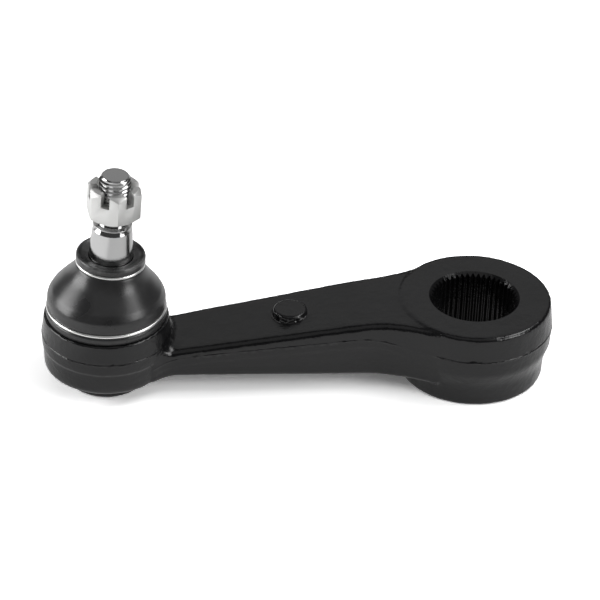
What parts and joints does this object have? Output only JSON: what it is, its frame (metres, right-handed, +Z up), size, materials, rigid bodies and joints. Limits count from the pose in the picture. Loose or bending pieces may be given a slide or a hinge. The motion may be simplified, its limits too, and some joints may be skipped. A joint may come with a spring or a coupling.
{
  "type": "pitman arm",
  "caption": "Forged steering lever with a serrated bore at one end and a booted ball joint with a tapered stud and castle nut at the other.",
  "frame": {"origin": "middle of the part in plan, on the bench that it lies on", "axes": "+X along the arm from the ball joint to the splined eye, +Z up along the eye's bore and the ball housing's axis"},
  "size_m": [0.23, 0.072, 0.1059],
  "materials": {
    "black_paint": "glossy black paint over a rough forged skin",
    "polished_steel": "ground and polished steel, bare",
    "plated_steel": "bright zinc plate on machined steel",
    "ring_wire": "bright spring wire",
    "rubber": "moulded black rubber with a soft sheen",
    "seat_resin": "moulded bearing resin",
    "spring_steel": "dark hardened spring steel"
  },
  "bodies": {
    "arm": {"arm_forging": "black_paint", "upper_bearing_seat": "seat_resin", "preload_spring": "spring_steel", "end_cover": "black_paint", "boot_lower_ring": "ring_wire"},
    "swing": {"lower_bearing_seat": "seat_resin", "dust_boot": "rubber"},
    "collar": {"boot_upper_ring": "ring_wire"},
    "stud": {"ball_stud": "polished_steel"},
    "nut": {"castle_nut": "plated_steel"}
  },
  "joints": [
    {"name": "swing_direction", "type": "hinge", "parent": "arm", "child": "swing", "pos_m": [-0.08605, 0, 0.0225], "axis": [0, 0, 1], "continuous": true},
    {"name": "stud_tilt", "type": "hinge", "parent": "swing", "child": "collar", "pos_m": [-0.08605, 0, 0.0225], "axis": [0, 1, 0], "range_deg": [-22.5, 17.5], "deforming": ["dust_boot"]},
    {"name": "stud_spin", "type": "hinge", "parent": "collar", "child": "stud", "pos_m": [-0.08605, 0, 0.0225], "axis": [0.0436, 0, 0.999], "continuous": true},
    {"name": "nut_turn", "type": "hinge", "parent": "stud", "child": "nut", "pos_m": [-0.08329, 0, 0.08582], "axis": [0.0436, 0, 0.999], "continuous": true}
  ]
}
